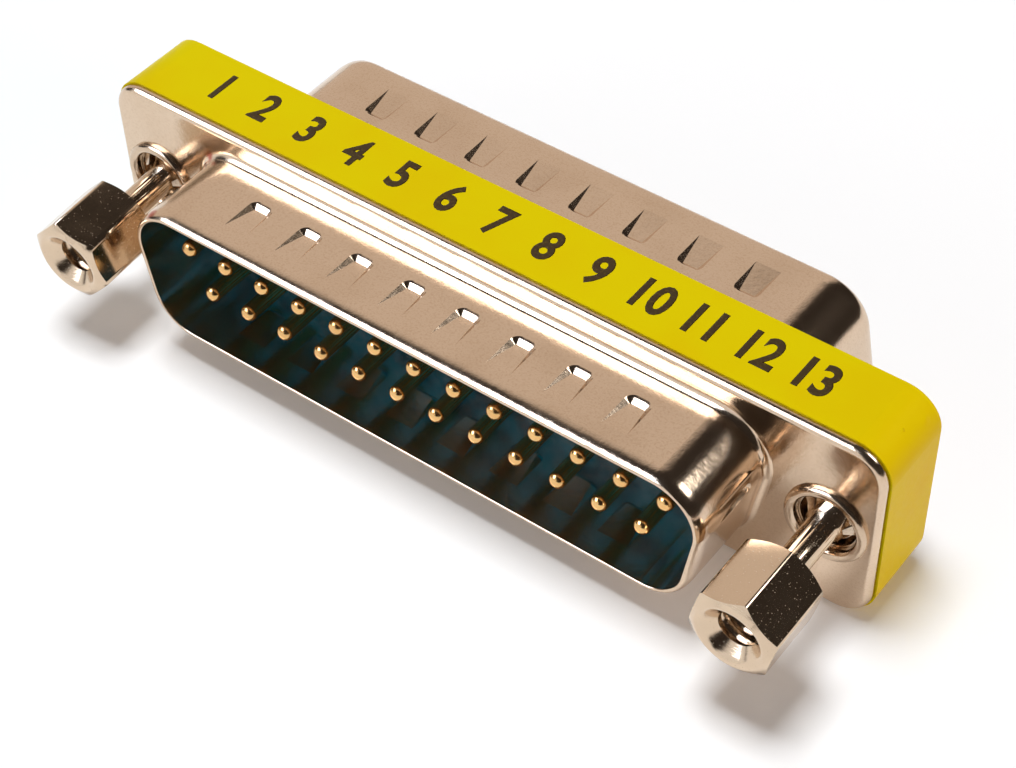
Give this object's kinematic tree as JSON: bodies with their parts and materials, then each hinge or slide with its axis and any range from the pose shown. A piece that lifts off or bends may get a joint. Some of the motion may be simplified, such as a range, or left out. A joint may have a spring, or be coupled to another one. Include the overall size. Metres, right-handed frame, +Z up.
{
  "type": "d-sub gender changer",
  "caption": "Slim D-sub gender changer, pin plug on both sides, in a plated steel housing with two captive hexagonal jackscrews.",
  "frame": {"origin": "centre of the underside, on the label, half way through the body", "axes": "+X along the connector to the right when the front plug is faced, -Y out of the front plug, +Z up"},
  "size_m": [0.0532, 0.0213, 0.0128],
  "materials": {
    "nickel_shell": "bright nickel plate, slightly warm",
    "label_film": "satin yellow film",
    "teal_moulding": "dark teal moulding",
    "gold_contact": "gold plate",
    "plated_eyelet": "bright nickel plate",
    "spring_steel": "plain spring steel",
    "plated_screw": "polished nickel plate"
  },
  "bodies": {
    "housing": {"front_shell": "nickel_shell", "rear_shell": "nickel_shell", "label": "label_film", "front_insulator": "teal_moulding", "rear_insulator": "teal_moulding", "eyelet_left": "plated_eyelet", "eyelet_right": "plated_eyelet", "contact_01": "gold_contact", "contact_02": "gold_contact", "contact_03": "gold_contact", "contact_04": "gold_contact", "contact_05": "gold_contact", "contact_06": "gold_contact", "contact_07": "gold_contact", "contact_08": "gold_contact", "contact_09": "gold_contact", "contact_10": "gold_contact", "contact_11": "gold_contact", "contact_12": "gold_contact", "contact_13": "gold_contact", "contact_14": "gold_contact", "contact_15": "gold_contact", "contact_16": "gold_contact", "contact_17": "gold_contact", "contact_18": "gold_contact", "contact_19": "gold_contact", "contact_20": "gold_contact", "contact_21": "gold_contact", "contact_22": "gold_contact", "contact_23": "gold_contact", "contact_24": "gold_contact", "contact_25": "gold_contact"},
    "left_retainer": {"retainer_left": "spring_steel"},
    "right_retainer": {"retainer_right": "spring_steel"},
    "left_jackscrew": {"jackscrew_left": "plated_screw"},
    "right_jackscrew": {"jackscrew_right": "plated_screw"}
  },
  "joints": [
    {"name": "left_retainer_turn", "type": "hinge", "parent": "housing", "child": "left_retainer", "pos_m": [-0.02352, 0, 0.00641], "axis": [0, 1, 0], "continuous": true},
    {"name": "left_jackscrew_slide", "type": "slide", "parent": "left_retainer", "child": "left_jackscrew", "axis": [-0.0508, 0.9982, 0.0305], "range_m": [-0.00053, 0.0031]},
    {"name": "right_retainer_turn", "type": "hinge", "parent": "housing", "child": "right_retainer", "pos_m": [0.02352, 0, 0.00641], "axis": [0, 1, 0], "continuous": true},
    {"name": "right_jackscrew_slide", "type": "slide", "parent": "right_retainer", "child": "right_jackscrew", "axis": [0, 1, 0], "range_m": [0, 0.00388]}
  ]
}
